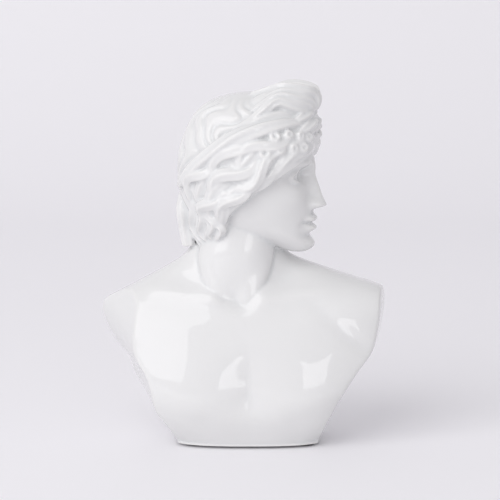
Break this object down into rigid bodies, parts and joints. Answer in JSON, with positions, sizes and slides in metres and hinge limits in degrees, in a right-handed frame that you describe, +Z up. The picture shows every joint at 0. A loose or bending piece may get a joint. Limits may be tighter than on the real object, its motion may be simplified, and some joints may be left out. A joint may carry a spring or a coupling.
{
  "type": "classical bust",
  "caption": "Small tabletop classical bust of a youth, head turned to its left, bare chest cut at the arms, standing on thin pads.",
  "frame": {"origin": "on the surface that the bust stands on, under the middle of its bounding box", "axes": "+Z up, the chest faces -Y, and the head is turned towards +X, its own left"},
  "size_m": [0.1568, 0.0748, 0.1971],
  "materials": {
    "white_glaze": "high-gloss white glaze over a cast body",
    "pad_foam": "matt black foam"
  },
  "bodies": {
    "root": {"bust": "white_glaze", "pad_front_left": "pad_foam", "pad_front_right": "pad_foam", "pad_back_left": "pad_foam", "pad_back_right": "pad_foam"}
  },
  "joints": []
}
